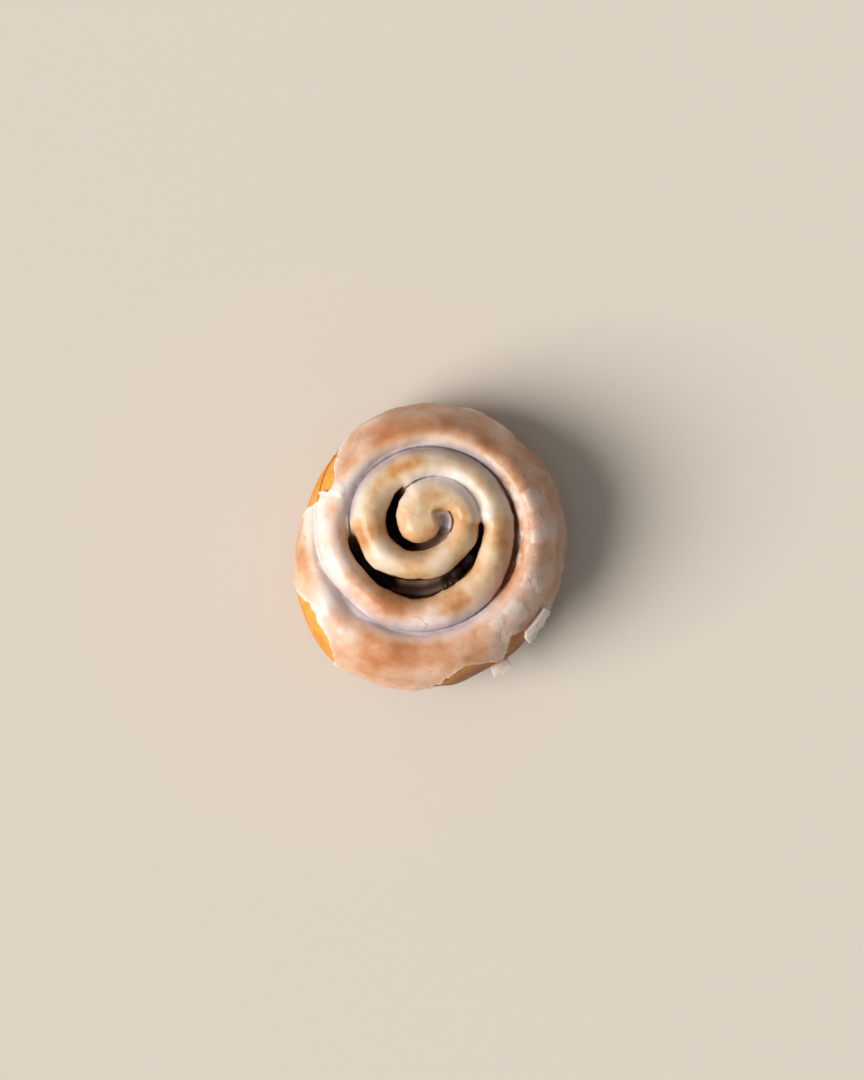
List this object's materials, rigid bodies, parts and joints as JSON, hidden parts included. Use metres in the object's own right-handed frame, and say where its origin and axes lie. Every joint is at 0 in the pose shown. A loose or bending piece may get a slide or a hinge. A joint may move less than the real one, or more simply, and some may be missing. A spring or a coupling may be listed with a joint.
{
  "type": "cinnamon roll",
  "caption": "Round baked roll of sweet dough wound in a spiral around a cinnamon filling, topped with poured sugar glaze, standing on its flat base.",
  "frame": {"origin": "middle of the flat base, under the middle of the whole roll", "axes": "+Z up, out of the spiral's top; +Y along the longer width, towards the side that the spiral's middle lies nearer; +X to the right seen from above with +Y up"},
  "size_m": [0.095, 0.1002, 0.0463],
  "materials": {
    "baked_dough": "baked egg-washed crust, golden with browner ridges",
    "cinnamon_syrup": "dark sticky cinnamon and sugar syrup",
    "sugar_glaze": "set icing-sugar glaze, milky and glossy, thin over the ridges"
  },
  "bodies": {
    "root": {"dough_roll": "baked_dough", "cinnamon_filling": "cinnamon_syrup", "sugar_glaze": "sugar_glaze"}
  },
  "joints": []
}
